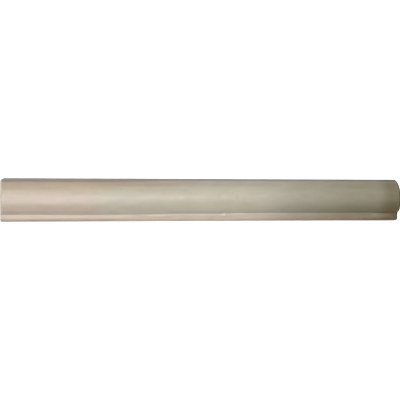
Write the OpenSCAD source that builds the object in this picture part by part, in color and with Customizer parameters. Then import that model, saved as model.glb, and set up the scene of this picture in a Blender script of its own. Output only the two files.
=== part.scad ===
// Border tile: a glazed half-round rail moulding with a flat strip along its lower edge.
// It lies on its back. X runs along the tile, Y across it, and Z up from the back to the crown.

/* [Tile] */
// Length from end to end
tile_length = 200; // [60:1:400]
// Thickness at the crown of the bead
crown_thickness = 13; // [12:0.25:14]
// Radius of the glazed edge round each end of the front
end_round = 0.9; // [0.3:0.1:1.2]

/* [Half-round bead] */
// Radius of the bead's curve
bead_radius = 10.3; // [10:0.1:11.5]
// Distance from the crown line to the upper edge
upper_reach = 9.8; // [7:0.1:9.9]
// Distance from the crown line to the foot of the bead
lower_reach = 7.45; // [5:0.05:8]

/* [Flat strip] */
// Width of the strip, from the foot of the bead to the lower edge
strip_width = 3.75; // [2:0.25:12]
// Thickness of the strip
strip_thickness = 8.4; // [5:0.1:8.5]
// Radius of the lower front edge
strip_round = 1.5; // [0.5:0.1:1.8]
// Radius of the cove between the strip and the bead
cove_radius = 0.5; // [0.3:0.1:0.8]

/* [Back] */
// Number of keying grooves along the back
groove_count = 4; // [0:1:4]
// Width of a groove at the mouth
groove_width = 2; // [1:0.1:3]
// Width of a groove at the bottom
groove_floor_width = 1.4; // [0.6:0.1:2]
// Depth of a groove
groove_depth = 0.8; // [0.4:0.1:2]
// Distance from groove to groove
groove_pitch = 4.2; // [3.5:0.1:4.6]

/* [Hidden] */

// Fineness of every round surface
$fn = 96;
// Overrun of a cutting tool past the face it cuts
cut_over = 1;
// How far the strip and the cove run in under the bead, so that all three are one body
tuck = 1;

tile_width = upper_reach + lower_reach + strip_width;
// The tile's width is centred on the X axis
upper_edge_y = tile_width / 2;
lower_edge_y = -tile_width / 2;
crown_y = upper_edge_y - upper_reach;
foot_y = crown_y - lower_reach;
axis_z = crown_thickness - bead_radius;

// Rectangle along X with its two outer corners rounded, standing on Y = 0
module rounded_top(length, height, radius) {
    translate([-length / 2, 0]) square([length, height - radius]);
    translate([radius - length / 2, 0]) square([length - 2 * radius, height]);
    for (side = [-1, 1])
        translate([side * (length / 2 - radius), height - radius]) circle(r = radius);
}

// Upper half of the bead: half a round bar with rounded ends, above its own axis
module bead_bar() {
    intersection() {
        rotate([0, 90, 0])
            rotate_extrude()
                intersection() {
                    rotate([0, 0, -90]) rounded_top(tile_length, bead_radius, end_round);
                    translate([0, -tile_length / 2]) square([bead_radius, tile_length]);
                }
        translate([-tile_length / 2, -lower_reach, 0])
            cube([tile_length, lower_reach + upper_reach, bead_radius]);
    }
}

// Body under the bead, from the back up to the bar's axis
module bead_body() {
    linear_extrude(axis_z)
        intersection() {
            union() {
                rounded_top(tile_length, bead_radius, end_round);
                mirror([0, 1]) rounded_top(tile_length, bead_radius, end_round);
            }
            translate([-tile_length / 2, -lower_reach]) square([tile_length, lower_reach + upper_reach]);
        }
}

module bead() {
    translate([0, crown_y, axis_z]) bead_bar();
    translate([0, crown_y, 0]) bead_body();
}

// Cross-section of the strip from its lower edge to under the bead, with the front edge rounded
module strip_section() {
    square([strip_width + tuck, strip_thickness - strip_round]);
    translate([strip_round, 0]) square([strip_width + tuck - strip_round, strip_thickness]);
    translate([strip_round, strip_thickness - strip_round]) circle(r = strip_round);
}

// A cross-section in Y and Z, drawn along the tile and centred on its length
module along(length) {
    rotate([90, 0, 90]) linear_extrude(length, center = true) children();
}

module strip() {
    intersection() {
        translate([0, lower_edge_y, 0]) along(tile_length) strip_section();
        translate([0, foot_y + tuck, 0])
            rotate([90, 0, 0])
                linear_extrude(strip_width + tuck) rounded_top(tile_length, strip_thickness, end_round);
    }
}

// Glaze-filled corner where the strip runs into the foot of the bead
module cove() {
    translate([0, foot_y - cove_radius, strip_thickness - tuck])
        along(tile_length - 2 * end_round)
            difference() {
                square(cove_radius + tuck);
                translate([0, cove_radius + tuck]) circle(r = cove_radius);
            }
}

// Keying grooves, cut from the back over the whole length
module grooves() {
    for (i = [0 : 1 : groove_count - 1])
        translate([0, (i - (groove_count - 1) / 2) * groove_pitch, 0])
            along(tile_length + 2 * cut_over)
                polygon([
                    [-groove_width / 2, 0], [-groove_width / 2, -cut_over],
                    [groove_width / 2, -cut_over], [groove_width / 2, 0],
                    [groove_floor_width / 2, groove_depth], [-groove_floor_width / 2, groove_depth]
                ]);
}

module border_tile() {
    color([0.78, 0.74, 0.67])
        difference() {
            union() {
                bead();
                strip();
                cove();
            }
            grooves();
        }
}

border_tile();
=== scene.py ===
import math
import bmesh
import bpy
from mathutils import Matrix, Vector


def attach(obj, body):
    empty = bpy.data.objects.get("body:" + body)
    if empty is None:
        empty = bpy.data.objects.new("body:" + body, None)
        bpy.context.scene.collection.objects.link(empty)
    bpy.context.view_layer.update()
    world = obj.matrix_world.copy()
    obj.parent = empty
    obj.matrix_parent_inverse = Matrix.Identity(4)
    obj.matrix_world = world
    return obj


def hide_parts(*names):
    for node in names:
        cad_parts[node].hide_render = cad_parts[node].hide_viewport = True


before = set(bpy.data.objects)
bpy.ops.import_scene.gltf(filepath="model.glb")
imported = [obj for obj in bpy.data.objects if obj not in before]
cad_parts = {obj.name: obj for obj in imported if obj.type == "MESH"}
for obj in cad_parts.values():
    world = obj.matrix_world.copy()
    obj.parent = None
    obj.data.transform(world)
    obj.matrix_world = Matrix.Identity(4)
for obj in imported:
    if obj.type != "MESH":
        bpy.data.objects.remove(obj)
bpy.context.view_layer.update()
print("frame loaded")

millimetre = 0.001

# the tile's cross-section, its ends and the unevenness of the fired glaze, in millimetres
tile = {
    "length": 200.0,
    "crownThickness": 13.0,
    "beadRadius": 10.3,
    "upperReach": 9.8,        # crown line to the upper edge
    "lowerReach": 7.45,       # crown line to the foot of the bead
    "stripWidth": 3.75,
    "stripThickness": 8.4,
    "stripRound": 1.5,        # lower front edge
    "coveRadius": 0.5,        # inner corner between strip and bead
    "footRound": 0.5,         # edge of the bead above the cove
    "upperRound": 0.6,        # edge of the bead above the upper side
    "endRound": 0.9,          # glazed edge round both ends
    "grooveCount": 4,
    "groovePitch": 4.2,
    "grooveWidth": 2.0,
    "grooveFloorWidth": 1.4,
    "grooveDepth": 0.8,
    "rings": 480,             # stations along the tile between the rounded ends
    "endRings": 6,            # stations in each rounded end
    "waveHeight": 0.06,
    "waveLength": 18.0,
    "seed": 7.0,
    "footDrift": [            # the foot's line wanders: X and the shift across the tile
        (-90.0, 0.05), (-70.0, -0.1), (-58.0, -0.1), (-50.0, -0.03), (-24.0, 0.03),
        (-15.0, 0.42), (8.0, 0.42), (16.0, 0.68),
    ],
    "chipLength": 1.7,        # cut corner at the left end of the upper edge
    "chipWidth": 0.9,
    # a mark's tone is partly painted glint and painted shade where it catches or loses the light, partly the
    # glaze's own spots
    "marks": [                # X, Y, half length, half width, depth (glaze that stands out is below zero), tone
        (4.8, 1.3, 0.8, 1.3, 0.06, -0.06), (7.0, 2.2, 1.0, 0.8, -0.02, 0.06),
        (14.1, 1.3, 0.7, 1.6, 0.06, -0.06), (15.6, 0.8, 0.7, 1.2, -0.02, 0.05),
        (-13.4, 1.0, 1.0, 1.2, -0.04, 0.08), (-13.0, 4.9, 2.2, 0.8, 0.04, -0.05),
        (-7.6, 4.2, 2.0, 0.8, 0.0, 0.05), (-24.0, -7.6, 7.5, 0.4, -0.06, 0.24),
        (-26.3, -8.5, 0.9, 0.3, 0.05, -0.08),
        (8.4, -7.4, 1.1, 0.6, -0.14, 0.34), (6.3, -6.4, 0.8, 0.5, 0.07, -0.10),
        (-82.8, -6.4, 1.6, 0.35, -0.06, 0.08), (-28.2, -4.7, 2.0, 0.6, 0.03, -0.04),
        (-19.0, 9.1, 4.5, 0.45, -0.04, 0.12), (42.7, 8.2, 3.5, 0.4, 0.04, -0.05),
    ],
}


def roundCorner(centreY, centreZ, radius, fromDeg, toDeg, steps):
    points = []
    for i in range(steps + 1):
        a = math.radians(fromDeg + (toDeg - fromDeg) * i / steps)
        points.append((centreY + radius * math.cos(a), centreZ + radius * math.sin(a)))
    return points


def straight(start, end, steps):
    return [
        (start[0] + (end[0] - start[0]) * i / steps, start[1] + (end[1] - start[1]) * i / steps)
        for i in range(1, steps)
    ]


def sectionOutline(v):
    # runs up the lower side, over the strip and the bead, down the upper side and back along the grooves
    width = v["upperReach"] + v["lowerReach"] + v["stripWidth"]
    lowY, highY = -width / 2, width / 2
    crownY = highY - v["upperReach"]
    axisZ = v["crownThickness"] - v["beadRadius"]
    footY = crownY - v["lowerReach"]
    inner = v["beadRadius"] - v["footRound"]
    footCentre = footY + v["footRound"]
    footAngle = math.degrees(math.acos((footCentre - crownY) / inner))
    footZ = axisZ + inner * math.sin(math.radians(footAngle))
    inner = v["beadRadius"] - v["upperRound"]
    topCentre = highY - v["upperRound"]
    topAngle = math.degrees(math.acos((topCentre - crownY) / inner))
    topZ = axisZ + inner * math.sin(math.radians(topAngle))
    stripTop, sr, cr = v["stripThickness"], v["stripRound"], v["coveRadius"]
    outline = [(lowY, 0)]
    outline += straight((lowY, 0), (lowY, stripTop - sr), 8)
    outline += roundCorner(lowY + sr, stripTop - sr, sr, 180, 90, 8)
    outline += straight((lowY + sr, stripTop), (footY - cr, stripTop), 6)
    outline += roundCorner(footY - cr, stripTop + cr, cr, -90, 0, 8)
    outline += roundCorner(footCentre, footZ, v["footRound"], 180, footAngle, 5)
    outline += roundCorner(crownY, axisZ, v["beadRadius"], footAngle, topAngle, 60)[1:]
    outline += roundCorner(topCentre, topZ, v["upperRound"], topAngle, 0, 4)[1:]
    outline += straight((highY, topZ), (highY, 0), 6)
    outline += [(highY, 0)]
    for i in reversed(range(v["grooveCount"])):
        y = (i - (v["grooveCount"] - 1) / 2) * v["groovePitch"]
        mouth, floor = v["grooveWidth"] / 2, v["grooveFloorWidth"] / 2
        outline += [(y + mouth, 0), (y + floor, v["grooveDepth"]), (y - floor, v["grooveDepth"]), (y - mouth, 0)]
    return outline


def inwardNormals(outline):
    # average of the two neighbouring edges' normals, lengthened at corners so that an inset stays even
    count = len(outline)
    normals = []
    for i in range(count):
        edges = []
        for a, b in ((outline[i - 1], outline[i]), (outline[i], outline[(i + 1) % count])):
            dy, dz = b[0] - a[0], b[1] - a[1]
            size = math.hypot(dy, dz)
            edges.append((dz / size, -dy / size))
        y, z = edges[0][0] + edges[1][0], edges[0][1] + edges[1][1]
        stretch = 2 / max(y * y + z * z, 0.5)
        normals.append((y * stretch, z * stretch))
    return normals


def keepEdges(v, outline, normals):
    # the end's rounding is larger than that of the bead's two edges, so each edge draws in to a single point
    r = v["endRound"]
    highY = (v["upperReach"] + v["lowerReach"] + v["stripWidth"]) / 2
    crownY = highY - v["upperReach"]
    axisZ = v["crownThickness"] - v["beadRadius"]
    kept = []
    for (y, z), (ny, nz) in zip(outline, normals):
        endY, endZ = y + ny * r, z + nz * r
        for side, reach in ((-1, v["lowerReach"]), (1, v["upperReach"])):
            pointY = crownY + side * (reach - r)
            pointZ = axisZ + math.sqrt((v["beadRadius"] - r) ** 2 - (reach - r) ** 2)
            if side * (endY - pointY) > -0.00001 and z > pointZ - 0.1:
                endY, endZ = pointY, pointZ
        kept.append(((endY - y) / r, (endZ - z) / r))
    return kept


class TreeMaker:
    # short forms for building a Geometry Nodes tree
    def __init__(self, name):
        self.tree = bpy.data.node_groups.new(name, "GeometryNodeTree")
        self.tree.is_modifier = True
        self.tree.interface.new_socket("Geometry", in_out="INPUT", socket_type="NodeSocketGeometry")
        self.tree.interface.new_socket("Geometry", in_out="OUTPUT", socket_type="NodeSocketGeometry")
        self.inputIds = {}
        self.entry = self.tree.nodes.new("NodeGroupInput")
        self.exit = self.tree.nodes.new("NodeGroupOutput")

    def addInput(self, name, kind):
        socket = self.tree.interface.new_socket(name, in_out="INPUT", socket_type=kind)
        self.inputIds[name] = socket.identifier

    def value(self, name):
        return self.entry.outputs[name]

    def link(self, source, target):
        self.tree.links.new(source, target)

    def node(self, kind, inputs=None, **settings):
        made = self.tree.nodes.new(kind)
        for key, setting in settings.items():
            setattr(made, key, setting)
        for key, source in (inputs or {}).items():
            self.feed(made.inputs[key], source)
        return made

    def feed(self, socket, source):
        if isinstance(source, bpy.types.NodeSocket):
            self.link(source, socket)
        else:
            socket.default_value = source

    def math(self, operation, *sources, clamp=False):
        made = self.tree.nodes.new("ShaderNodeMath")
        made.operation, made.use_clamp = operation, clamp
        for socket, source in zip(made.inputs, sources):
            self.feed(socket, source)
        return made.outputs[0]

    def vector(self, operation, *sources):
        made = self.tree.nodes.new("ShaderNodeVectorMath")
        made.operation = operation
        for socket, source in zip(made.inputs, sources):
            self.feed(socket, source)
        return made.outputs[0]

    def attribute(self, name, kind):
        made = self.node("GeometryNodeInputNamedAttribute", {"Name": name}, data_type=kind)
        return next(socket for socket in made.outputs if socket.enabled and socket.name == "Attribute")

    def modify(self, piece, values):
        modifier = piece.modifiers.new(self.tree.name, "NODES")
        modifier.node_group = self.tree
        for name, setting in values.items():
            modifier[self.inputIds[name]] = setting
        return modifier


def sweepTree():
    # sweeps the cross-section through stations along X, draws in the rounded ends and adds the uneven surface
    t = TreeMaker("tileSweep")
    for name in ("Length", "End Round", "Wave Height", "Wave Length", "Seed"):
        t.addInput(name, "NodeSocketFloat")
    t.addInput("Rings", "NodeSocketInt")
    t.addInput("End Rings", "NodeSocketInt")
    t.addInput("Finish", "NodeSocketMaterial")
    section = t.node("GeometryNodeMeshToCurve", {"Mesh": t.value("Geometry")})
    stationCount = t.math("ADD", t.value("Rings"), t.math("MULTIPLY", t.value("End Rings"), 2.0))
    line = t.node("GeometryNodeCurvePrimitiveLine", {"Start": (-1, 0, 0), "End": (1, 0, 0)})
    stations = t.node("GeometryNodeResampleCurve", {"Curve": line.outputs[0], "Count": stationCount})
    index = t.node("GeometryNodeInputIndex")
    numbered = t.node(
        "GeometryNodeStoreNamedAttribute",
        {"Geometry": stations.outputs[0], "Name": "station", "Value": index.outputs[0]},
        data_type="FLOAT", domain="POINT",
    )
    swept = t.node("GeometryNodeCurveToMesh", {
        "Curve": numbered.outputs[0], "Profile Curve": section.outputs[0], "Fill Caps": True,
    })
    station = t.attribute("station", "FLOAT")
    last = t.math("SUBTRACT", stationCount, 1.0)
    middle = t.math("DIVIDE", last, 2.0)
    fromEnd = t.math("MINIMUM", station, t.math("SUBTRACT", last, station))
    turn = t.math("MULTIPLY", t.math("DIVIDE", fromEnd, t.value("End Rings"), clamp=True), math.pi / 2)
    r = t.value("End Round")
    setBack = t.math("MULTIPLY", r, t.math("SUBTRACT", 1.0, t.math("COSINE", turn)))
    drawIn = t.math("MULTIPLY", r, t.math("SUBTRACT", 1.0, t.math("SINE", turn)))
    along = t.math("DIVIDE", t.math("MAXIMUM", t.math("SUBTRACT", fromEnd, t.value("End Rings")), 0.0),
                   t.math("SUBTRACT", middle, t.value("End Rings")))
    halfLength = t.math("DIVIDE", t.value("Length"), 2.0)
    fromEdge = t.math("ADD", setBack, t.math("MULTIPLY", along, t.math("SUBTRACT", halfLength, r)))
    side = t.math("SIGN", t.math("SUBTRACT", station, middle))
    x = t.math("MULTIPLY", side, t.math("SUBTRACT", halfLength, fromEdge))
    atStation = t.node("ShaderNodeCombineXYZ", {"X": x}).outputs[0]
    place = t.attribute("sectionPlace", "FLOAT_VECTOR")
    inward = t.attribute("sectionInward", "FLOAT_VECTOR")
    scaled = t.node("ShaderNodeVectorMath", {0: inward, "Scale": drawIn}, operation="SCALE").outputs[0]
    moved = t.vector("ADD", t.vector("ADD", place, atStation), scaled)
    shaped = t.node("GeometryNodeSetPosition", {"Geometry": swept.outputs[0], "Position": moved})
    glazed = t.attribute("glazed", "FLOAT")
    noiseScale = t.math("DIVIDE", 1.0, t.value("Wave Length"))
    noise = t.node("ShaderNodeTexNoise", {
        "W": t.value("Seed"), "Scale": noiseScale, "Detail": 1.0,
    }, noise_dimensions="4D")
    dip = t.math("MULTIPLY", t.math("MULTIPLY", noise.outputs[0], t.value("Wave Height")), glazed)
    sink = t.node("ShaderNodeVectorMath", {0: inward, "Scale": dip}, operation="SCALE").outputs[0]
    waved = t.node("GeometryNodeSetPosition", {"Geometry": shaped.outputs[0], "Offset": sink})
    real = t.node("GeometryNodeRealizeInstances", {"Geometry": waved.outputs[0]})
    finished = t.node("GeometryNodeSetMaterial", {"Geometry": real.outputs[0], "Material": t.value("Finish")})
    t.link(finished.outputs[0], t.exit.inputs[0])
    return t


def buildTile(v, finish):
    outline = sectionOutline(v)
    normals = keepEdges(v, outline, inwardNormals(outline))
    count = len(outline)
    mesh = bpy.data.meshes.new("tileSection")
    mesh.from_pydata(
        [(0, y * millimetre, z * millimetre) for y, z in outline],
        [(i, (i + 1) % count) for i in range(count)], [],
    )
    place, inward, glazed = [], [], []
    for (y, z), (ny, nz) in zip(outline, normals):
        front = 1.0 if z > 1.5 else 0.0
        place += [0, y * millimetre, z * millimetre]
        inward += [0, ny * front, nz * front]
        glazed.append(min(max((z - 5.0) / 2.0, 0.0), 1.0))
    mesh.attributes.new("sectionPlace", "FLOAT_VECTOR", "POINT").data.foreach_set("vector", place)
    mesh.attributes.new("sectionInward", "FLOAT_VECTOR", "POINT").data.foreach_set("vector", inward)
    mesh.attributes.new("glazed", "FLOAT", "POINT").data.foreach_set("value", glazed)
    source = bpy.data.objects.new("tileSection", mesh)
    bpy.context.collection.objects.link(source)
    tree = sweepTree()
    tree.modify(source, {
        "Length": v["length"] * millimetre, "End Round": v["endRound"] * millimetre,
        "Wave Height": v["waveHeight"] * millimetre, "Wave Length": v["waveLength"] * millimetre,
        "Seed": v["seed"], "Rings": v["rings"], "End Rings": v["endRings"], "Finish": finish,
    })
    depsgraph = bpy.context.evaluated_depsgraph_get()
    made = bpy.data.meshes.new_from_object(source.evaluated_get(depsgraph))
    made.name = "glazedTile"
    bpy.data.objects.remove(source)
    piece = bpy.data.objects.new("glazed_tile", made)
    bpy.context.collection.objects.link(piece)
    cleanMesh(made)
    shapeByHand(made, v)
    return piece


def cleanMesh(mesh):
    b = bmesh.new()
    b.from_mesh(mesh)
    bmesh.ops.remove_doubles(b, verts=b.verts, dist=0.00001)
    bmesh.ops.recalc_face_normals(b, faces=b.faces)
    sharpAngle = math.radians(32)
    for face in b.faces:
        face.smooth = len(face.verts) < 5   # the two end faces stay flat
    for edge in b.edges:
        edge.smooth = edge.calc_face_angle(0) < sharpAngle
    b.to_mesh(mesh)
    b.free()
    mesh.update()


def shiftAt(x, stops):
    # smooth change from each stop's value to the next one's
    shift = stops[0][1]
    for (startX, startShift), (endX, endShift) in zip(stops, stops[1:]):
        t = min(max((x - startX) / (endX - startX), 0.0), 1.0)
        shift += (endShift - startShift) * t * t * (3 - 2 * t)
    return shift


def shapeByHand(mesh, v):
    # the cut corner, the dents and beads of glaze with the tone each has (painted glint and painted shade where
    # they catch or lose the light, and spots of the glaze's own tone), and the wandering foot line
    highY = (v["upperReach"] + v["lowerReach"] + v["stripWidth"]) / 2
    footY = highY - v["upperReach"] - v["lowerReach"]
    outward = [vertex.normal.copy() for vertex in mesh.vertices]
    toneAndGlint = [0.0] * len(mesh.vertices)
    for vertex, normal in zip(mesh.vertices, outward):
        x, y, z = vertex.co / millimetre
        fromLeft = x + v["length"] / 2
        if fromLeft < v["chipLength"]:
            y = min(y, highY - v["chipWidth"] * (1 - fromLeft / v["chipLength"]))
            vertex.co.y = y * millimetre
        if z < 4.5:
            continue
        depth = 0.0
        for markX, markY, length, width, deep, tone in v["marks"]:
            away = ((x - markX) / length) ** 2 + ((y - markY) / width) ** 2
            if away < 6:
                depth += deep * math.exp(-away)
                toneAndGlint[vertex.index] += tone * math.exp(-away)
        moved = Vector((x, y, z)) - normal * depth
        if z > v["stripThickness"] - 0.05:
            moved.y += shiftAt(x, v["footDrift"]) * math.exp(-((y - footY) / 0.9) ** 2)
        vertex.co = moved * millimetre
    mesh.attributes.new("markToneAndGlint", "FLOAT", "POINT").data.foreach_set("value", toneAndGlint)
    mesh.update()


glaze = {
    "greige": (0.545, 0.500, 0.395),   # thick glaze along the middle
    "blush": (0.590, 0.483, 0.390),    # thin glaze that lets the clay show
    "straw": (0.570, 0.478, 0.340),    # yellower band above the crown at the left
    "moss": (0.550, 0.508, 0.345),     # greener end of that band
    "rose": (0.560, 0.450, 0.340),     # redder band along the upper edge
    "olive": (0.500, 0.456, 0.300),    # where the glaze turns towards the right end
    "shell": (0.572, 0.462, 0.358),    # strip
    "tan": (0.555, 0.432, 0.325),      # strip towards the right end
    "lowerRightShadow": (0.180, 0.127, 0.042),    # painted brown shadow at the lower right end
    "paintedEndHighlight": (0.700, 0.620, 0.530),   # painted highlight: a pale edge at the left end
    "edgeShade": (0.278, 0.253, 0.242),  # painted shade line along the upper edge
    "rightEndShade": (0.070, 0.052, 0.030),   # painted shade line along the right end
    "clay": (0.560, 0.450, 0.360),     # unglazed back and sides
    "leftBlushX": -54.0,               # blush covers the tile left of here
    "leftBlushLean": 1.2,              # its border leans by this for each millimetre up the bead
    "upperBandY": 7.0,                 # lower border of the blush band on top of the bead
    "upperBandEndX": -10.0,
    "stripBandY": -7.7,                # upper border of the blush band on the strip
    "oliveStartX": 30.0,
    "oliveEndX": 98.0,
    "glazeEdgeZ": 4.6,                 # the glaze ends this far up the sides
    "glazeEdgeX": 99.92,               # and this far along towards the ends
    "roughness": 0.34,
    "clayRoughness": 0.85,
    "ior": 1.45,
}


class ShaderMaker:
    # short forms for building a material
    def __init__(self, name):
        self.material = bpy.data.materials.new(name)
        self.material.use_nodes = True
        self.nodes = self.material.node_tree.nodes
        self.links = self.material.node_tree.links
        self.shader = self.nodes["Principled BSDF"]
        coordinates = self.nodes.new("ShaderNodeTexCoord")
        scale = self.nodes.new("ShaderNodeVectorMath")
        scale.operation = "SCALE"
        scale.inputs["Scale"].default_value = 1 / millimetre
        self.links.new(coordinates.outputs["Object"], scale.inputs[0])
        self.place = scale.outputs[0]
        split = self.nodes.new("ShaderNodeSeparateXYZ")
        self.links.new(self.place, split.inputs[0])
        self.x, self.y, self.z = split.outputs

    def feed(self, socket, source):
        if isinstance(source, bpy.types.NodeSocket):
            self.links.new(source, socket)
        else:
            socket.default_value = source

    def math(self, operation, *sources, clamp=False):
        made = self.nodes.new("ShaderNodeMath")
        made.operation, made.use_clamp = operation, clamp
        for socket, source in zip(made.inputs, sources):
            self.feed(socket, source)
        return made.outputs[0]

    def ramp(self, source, start, end, low=0.0, high=1.0):
        made = self.nodes.new("ShaderNodeMapRange")
        made.interpolation_type = "SMOOTHSTEP"
        for name, given in (("Value", source), ("From Min", start), ("From Max", end),
                            ("To Min", low), ("To Max", high)):
            self.feed(made.inputs[name], given)
        return made.outputs[0]

    def noise(self, size, stretch=1.0, detail=2.0, offset=0.0):
        # size is the width of the pattern in millimetres, stretch how much longer it is along the tile
        mapping = self.nodes.new("ShaderNodeMapping")
        mapping.inputs["Location"].default_value = (offset, offset, offset)
        mapping.inputs["Scale"].default_value = (1 / (size * stretch), 1 / size, 1 / size)
        self.links.new(self.place, mapping.inputs["Vector"])
        made = self.nodes.new("ShaderNodeTexNoise")
        made.inputs["Scale"].default_value = 1.0
        made.inputs["Detail"].default_value = detail
        self.links.new(mapping.outputs[0], made.inputs["Vector"])
        return made.outputs["Fac"]

    def centred(self, noise, amount):
        return self.math("MULTIPLY", self.math("SUBTRACT", noise, 0.5), 2 * amount)

    def multiply(self, *sources):
        total = sources[0]
        for source in sources[1:]:
            total = self.math("MULTIPLY", total, source)
        return total

    def attribute(self, name):
        made = self.nodes.new("ShaderNodeAttribute")
        made.attribute_name = name
        return made.outputs["Fac"]

    def solid(self, colour):
        made = self.nodes.new("ShaderNodeRGB")
        made.outputs[0].default_value = (*colour, 1)
        return made.outputs[0]

    def darken(self, colour, mask, amount):
        # takes away the given share of the colour where the mask is 1
        level = self.math("SUBTRACT", 1.0, self.math("MULTIPLY", mask, amount))
        made = self.nodes.new("ShaderNodeVectorMath")
        made.operation = "SCALE"
        self.feed(made.inputs[0], colour)
        self.feed(made.inputs["Scale"], level)
        return made.outputs[0]

    def blend(self, share, first, second, kind="MIX"):
        made = self.nodes.new("ShaderNodeMix")
        made.data_type, made.blend_type = "RGBA", kind
        self.feed(made.inputs[0], share)
        for socket, given in ((made.inputs[6], first), (made.inputs[7], second)):
            self.feed(socket, (*given, 1) if isinstance(given, tuple) else given)
        return made.outputs[2]


def glazeTones(m, v):
    # where the glaze is thick, thin or turns to another tone
    drift = m.noise(6.0, stretch=6.0, detail=3.0, offset=11.0)
    cloud = m.noise(9.0, stretch=2.5, detail=3.0, offset=3.0)
    cloudX = m.math("ADD", m.x, m.centred(cloud, 8.0))
    border = m.math("ADD", v["leftBlushX"],
                    m.math("MULTIPLY", m.math("MAXIMUM", m.y, 0.0), v["leftBlushLean"]))
    toBorder = m.math("ADD", m.math("SUBTRACT", m.x, border), m.centred(cloud, 14.0))
    leftBlush = m.ramp(toBorder, -9.0, 9.0, 1.0, 0.0)
    bandY = m.math("ADD", m.y, m.centred(drift, 1.6))
    upperBlush = m.multiply(m.ramp(bandY, v["upperBandY"] - 0.5, v["upperBandY"] + 0.9),
                            m.ramp(m.x, v["upperBandEndX"] + 8.0, v["upperBandEndX"] - 6.0))
    stripY = m.math("SUBTRACT", m.math("ADD", m.y, m.centred(drift, 0.7)), m.ramp(m.x, 0.0, -30.0, 0.0, 0.8))
    stripBlush = m.ramp(stripY, v["stripBandY"] + 0.4, v["stripBandY"] - 0.6)
    toOlive = m.ramp(m.x, v["oliveStartX"], v["oliveEndX"])
    main = m.blend(toOlive, v["greige"], v["olive"])
    colour = m.blend(m.math("MAXIMUM", leftBlush, upperBlush), main, v["blush"])
    colour = m.blend(stripBlush, colour, m.blend(m.ramp(m.x, 25.0, 60.0), v["shell"], v["tan"]))
    band = m.multiply(m.ramp(bandY, 4.2, 6.2), m.ramp(bandY, 7.6, 6.8), m.ramp(cloudX, -24.0, -34.0))
    colour = m.blend(band, colour, m.blend(m.ramp(cloudX, -50.0, -42.0), v["straw"], v["moss"]))
    rose = m.multiply(m.ramp(bandY, 6.4, 7.2), m.ramp(m.x, -12.0, -30.0))
    return m.blend(rose, colour, v["rose"])


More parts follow.
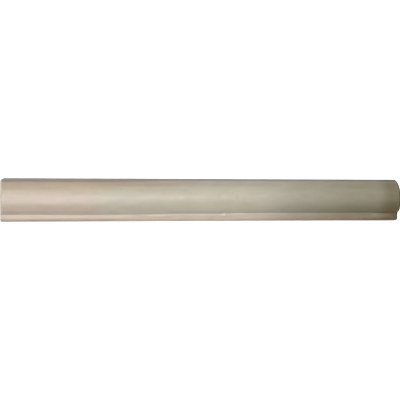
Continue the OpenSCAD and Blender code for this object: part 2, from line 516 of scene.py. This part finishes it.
def glazeShade(m, v, colour):
    # painted light and painted shade in the glaze: darker towards the right end and along the lower side, lighter
    # and darker bands along the foot and the edges, the marks' glints and shade, a few tints of the glaze's own
    # colour and a random mottle
    # painted light and shade along the tile, where the lamps fall off: a little lighter from the middle on, then
    # darker in steps towards the right end, and a warmer tint at the right end
    colour = m.darken(colour, m.ramp(m.x, -25.0, 0.0), -0.08)
    colour = m.darken(colour, m.ramp(m.x, 22.0, 50.0), 0.21)
    colour = m.darken(colour, m.ramp(m.x, 52.0, 74.0), 0.09)
    colour = m.darken(colour, m.ramp(m.x, 87.5, 95.5), 0.31)
    colour = m.blend(m.ramp(m.x, 87.0, 98.0), colour, (1.0, 0.965, 0.88), kind="MULTIPLY")
    # painted shade: the lower side of the bead darker towards the right end, less so on the strip
    strip = m.ramp(m.y, -6.6, -7.2)
    lower = m.multiply(m.ramp(m.y, 0.5, -5.2), m.ramp(strip, 0.0, 1.0, 1.0, 0.7), m.ramp(m.x, 0.0, 95.0))
    colour = m.darken(colour, lower, 0.34)
    warm = m.multiply(m.ramp(m.x, 40.0, 75.0), m.ramp(m.y, -2.5, -5.0))
    colour = m.blend(warm, colour, (1.0, 0.98, 0.88), kind="MULTIPLY")
    # painted highlight: the crest lighter towards the left end
    crestLeftHighlight = m.multiply(m.ramp(m.y, 0.8, 2.2), m.ramp(m.y, 5.2, 4.2), m.ramp(m.x, -55.0, -105.0))
    colour = m.darken(colour, crestLeftHighlight, -0.12)
    crestRose = m.multiply(m.ramp(m.x, -37.0, -28.0), m.ramp(m.x, -8.0, -16.0),
                           m.ramp(m.y, 4.0, 2.5), m.ramp(m.y, -3.0, -1.0))
    colour = m.blend(crestRose, colour, (1.04, 1.01, 1.01), kind="MULTIPLY")
    # painted shade on the upper shoulder of the bead
    shoulderShade = m.multiply(m.ramp(m.y, 6.0, 7.2), m.ramp(m.x, -70.0, -40.0), m.ramp(m.x, 40.0, 25.0))
    colour = m.darken(colour, shoulderShade, 0.11)
    # painted shade: a dark band along the upper edge, wider towards the left end, tinted cooler at its top
    topY = m.math("ADD", m.y, m.ramp(m.x, -10.0, -60.0, 0.0, 0.65))
    colour = m.darken(colour, m.ramp(topY, 8.8, 9.8), 0.42)
    colour = m.blend(m.ramp(topY, 9.3, 9.9), colour, (0.98, 0.95, 1.03), kind="MULTIPLY")
    # painted light in the inner corner between bead and strip
    coveLight = m.multiply(m.ramp(m.y, -6.6, -6.8), m.ramp(m.y, -7.6, -7.2))
    colour = m.darken(colour, coveLight, -0.12)
    # painted light in bands along the bead's foot, and painted shade along it at the left end
    footLight = m.multiply(m.ramp(m.y, -5.2, -5.8), m.ramp(m.y, -7.2, -6.8),
                           m.ramp(m.x, 8.0, 18.0), m.ramp(m.x, 92.0, 86.0))
    colour = m.darken(colour, footLight, -0.14)
    footGlow = m.multiply(m.ramp(m.y, -5.9, -6.3), m.ramp(m.y, -7.0, -6.8),
                          m.ramp(m.x, -50.0, -34.0), m.ramp(m.x, -14.0, -26.0))
    colour = m.darken(colour, footGlow, -0.15)
    footShade = m.multiply(m.ramp(m.y, -4.8, -5.8), m.ramp(m.y, -6.5, -6.1), m.ramp(m.x, -50.0, -58.0))
    colour = m.darken(colour, footShade, 0.06)
    # painted shade on the strip and along its lower front edge, darkest towards the right end, then a lighter,
    # bluer tint along the very edge
    stripMiddleShade = m.multiply(m.ramp(m.y, -7.6, -8.0), m.ramp(m.y, -9.0, -8.6),
                             m.ramp(m.x, -38.0, -28.0), m.ramp(m.x, 25.0, 10.0))
    colour = m.darken(colour, stripMiddleShade, 0.10)
    lowerEdgeShadeLeft = m.multiply(m.ramp(m.y, -8.4, -8.9), m.ramp(m.x, -30.0, -55.0))
    colour = m.darken(colour, lowerEdgeShadeLeft, 0.17)
    lowerEdgeShadeRight = m.multiply(m.ramp(m.y, -9.0, -10.0), m.ramp(m.x, 65.0, 98.0))
    colour = m.darken(colour, lowerEdgeShadeRight, 0.5)
    colour = m.blend(m.ramp(m.y, -9.2, -9.9), colour, (1.06, 1.09, 1.16), kind="MULTIPLY")
    # painted shadow: dark brown over the lower right end, with a ragged border
    edgeX = m.math("ADD", m.x, m.centred(m.noise(9.0, stretch=2.5, detail=3.0, offset=3.0), 8.0))
    lowerRightShadow = m.multiply(m.ramp(edgeX, 85.5, 97.0), m.ramp(m.y, 1.5, -5.8), m.ramp(strip, 0.0, 1.0, 0.9, 0.6))
    colour = m.blend(lowerRightShadow, colour, v["lowerRightShadow"])
    # painted light on the strip near the right end
    stripRightLight = m.multiply(m.ramp(m.y, -6.7, -7.0), m.ramp(m.y, -9.6, -7.6),
                            m.ramp(m.x, 80.0, 92.0), m.ramp(m.x, 98.5, 93.5))
    colour = m.darken(colour, stripRightLight, -0.42)
    # the marks' tone: painted glints and painted shade, with spots of the glaze's own tone
    colour = m.darken(colour, m.attribute("markToneAndGlint"), -1.0)
    mottle = m.noise(2.6, stretch=3.0, detail=4.0, offset=7.0)
    return m.darken(colour, m.ramp(mottle, 0.7, 0.3), 0.07)


def glazeMaterial(v):
    m = ShaderMaker("greigeGlaze")
    colour = glazeShade(m, v, glazeTones(m, v))
    rag = m.centred(m.noise(1.6, detail=3.0, offset=5.0), 1.0)
    absX = m.math("ABSOLUTE", m.x)
    endX = m.math("ADD", absX, m.math("MULTIPLY", rag, 0.12))
    # painted highlight along the left end's edge
    leftEndHighlight = m.multiply(m.ramp(endX, 99.1, 99.4), m.ramp(m.x, 0.0, -1.0))
    colour = m.blend(leftEndHighlight, colour, v["paintedEndHighlight"])
    # painted highlight: a pale line just inside the right end's edge
    rightEndHighlight = m.multiply(m.ramp(m.x, 97.6, 98.1), m.ramp(m.x, 98.9, 98.4), m.ramp(m.y, 1.0, 5.0))
    colour = m.darken(colour, rightEndHighlight, -0.10)
    # painted shade lines along the upper edge and round the right end, the upper one darker towards the right end
    upperEdgeShadeMask = m.ramp(m.math("ADD", m.y, m.math("MULTIPLY", rag, 0.15)), 9.9, 10.25)
    rightEdgeShadeMask = m.multiply(m.ramp(endX, 98.95, 99.2), m.ramp(m.x, 0.0, 1.0))
    colour = m.blend(upperEdgeShadeMask, colour, m.darken(m.solid(v["edgeShade"]), m.ramp(m.x, 0.0, 95.0), 0.42))
    colour = m.blend(rightEdgeShadeMask, colour, v["rightEndShade"])
    # the glaze is also rougher along these painted shade lines
    shadedEdges = m.math("MAXIMUM", upperEdgeShadeMask, rightEdgeShadeMask)
    lowSide = m.ramp(m.math("ADD", m.z, m.math("MULTIPLY", rag, 0.8)),
                     v["glazeEdgeZ"] + 0.15, v["glazeEdgeZ"] - 0.15)
    endFace = m.ramp(m.math("ADD", absX, m.math("MULTIPLY", rag, 0.04)),
                     v["glazeEdgeX"], v["glazeEdgeX"] + 0.05)
    bare = m.math("MAXIMUM", lowSide, endFace)
    clay = m.darken(m.solid(v["clay"]), m.ramp(m.noise(0.7, detail=5.0, offset=2.0), 0.7, 0.3), 0.17)
    colour = m.blend(bare, colour, clay)
    m.links.new(colour, m.shader.inputs["Base Color"])
    rough = m.math("ADD", v["roughness"], m.math("MULTIPLY", shadedEdges, 0.5))
    rough = m.ramp(bare, 0.0, 1.0, rough, v["clayRoughness"])
    m.links.new(rough, m.shader.inputs["Roughness"])
    m.shader.inputs["IOR"].default_value = v["ior"]
    return m.material


def seenDirectly(nodes, links):
    # 1 for what the camera sees, straight or by way of gloss or glass
    ray = nodes.new("ShaderNodeLightPath")
    total = ray.outputs["Is Camera Ray"]
    for name in ("Is Glossy Ray", "Is Transmission Ray"):
        both = nodes.new("ShaderNodeMath")
        both.operation = "MAXIMUM"
        links.new(total, both.inputs[0])
        links.new(ray.outputs[name], both.inputs[1])
        total = both.outputs[0]
    return total


def makeFloor():
    mesh = bpy.data.meshes.new("floor")
    s = 1.5
    mesh.from_pydata([(-s, -s, 0), (s, -s, 0), (s, s, 0), (-s, s, 0)], [], [(0, 1, 2, 3)])
    floor = bpy.data.objects.new("floor", mesh)
    bpy.context.collection.objects.link(floor)
    material = bpy.data.materials.new("paleFloor")
    material.use_nodes = True
    nodes, links = material.node_tree.nodes, material.node_tree.links
    nodes.clear()
    out = nodes.new("ShaderNodeOutputMaterial")
    diffuse = nodes.new("ShaderNodeBsdfDiffuse")
    diffuse.inputs["Color"].default_value = (0.8, 0.8, 0.8, 1)
    glow = nodes.new("ShaderNodeEmission")
    glow.inputs["Strength"].default_value = 0.75
    seen = seenDirectly(nodes, links)
    black = nodes.new("ShaderNodeEmission")
    black.inputs["Strength"].default_value = 0
    pick = nodes.new("ShaderNodeMixShader")
    links.new(seen, pick.inputs[0])
    links.new(black.outputs[0], pick.inputs[1])
    links.new(glow.outputs[0], pick.inputs[2])
    both = nodes.new("ShaderNodeAddShader")
    links.new(diffuse.outputs[0], both.inputs[0])
    links.new(pick.outputs[0], both.inputs[1])
    links.new(both.outputs[0], out.inputs[0])
    mesh.materials.append(material)
    return floor


lights = [   # name, place, size along X and Y, spread in degrees, watts; a narrow lamp is aimed straight down and
             # none lies level with another, since one would then hide the other from glossy rays
    ("overheadBox", (-0.10, 0.00, 0.55), (0.20, 0.60), 60, 0.240),
    ("lowerBox", (-0.10, -0.25, 0.56), (0.20, 0.20), 60, 0.346),
    ("upperBox", (0.04, 0.10, 0.57), (0.20, 0.20), 60, 0.126),
    ("farUpperBox", (0.04, 0.25, 0.58), (0.20, 0.20), 60, 0.061),
    ("wideBox", (0.00, 0.50, 0.55), (0.24, 0.24), 180, 0.534),
    ("wideRightBox", (0.30, 0.50, 0.55), (0.24, 0.24), 180, 0.278),
]


def makeLights(boxes):
    for name, place, size, spread, watts in boxes:
        data = bpy.data.lights.new(name, "AREA")
        data.shape = "RECTANGLE"
        data.size, data.size_y = size
        data.energy = watts
        data.spread = math.radians(spread)
        lamp = bpy.data.objects.new(name, data)
        lamp.location = place
        lamp.rotation_mode = "QUATERNION"
        target = Vector((0, 0, 0)) if spread == 180 else Vector((place[0], place[1], 0))
        lamp.rotation_quaternion = (target - Vector(place)).to_track_quat("-Z", "Y")
        bpy.context.collection.objects.link(lamp)


def makeWorld(strength):
    world = bpy.data.worlds.new("studio")
    bpy.context.scene.world = world
    world.use_nodes = True
    nodes, links = world.node_tree.nodes, world.node_tree.links
    level = nodes.new("ShaderNodeMapRange")
    links.new(seenDirectly(nodes, links), level.inputs["Value"])
    level.inputs["To Min"].default_value = strength
    level.inputs["To Max"].default_value = 1.0
    nodes["Background"].inputs["Color"].default_value = (1, 1, 1, 1)
    links.new(level.outputs[0], nodes["Background"].inputs["Strength"])


def makeCamera(v):
    data = bpy.data.cameras.new("camera")
    data.lens = v["lens"]
    camera = bpy.data.objects.new("camera", data)
    camera.location = v["place"]
    camera.rotation_mode = "QUATERNION"
    look = (Vector(v["target"]) - Vector(v["place"])).normalized()
    right = look.cross(Vector((0, 1, 0))).normalized()
    camera.rotation_quaternion = Matrix((right, right.cross(look), -look)).transposed().to_quaternion()
    bpy.context.collection.objects.link(camera)
    bpy.context.scene.camera = camera


finish = glazeMaterial(glaze)
piece = buildTile(tile, finish)
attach(piece, "root")
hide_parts("border_tile")
print("tile built:", len(piece.data.polygons), "faces")

makeFloor()
makeWorld(0.05)
makeLights(lights)
makeCamera({"place": (-0.092, 0, 0.47), "target": (-0.0035, 0, 0.0084), "lens": 85.74})
bpy.context.scene.view_settings.view_transform = "Standard"
print("lights and camera placed")
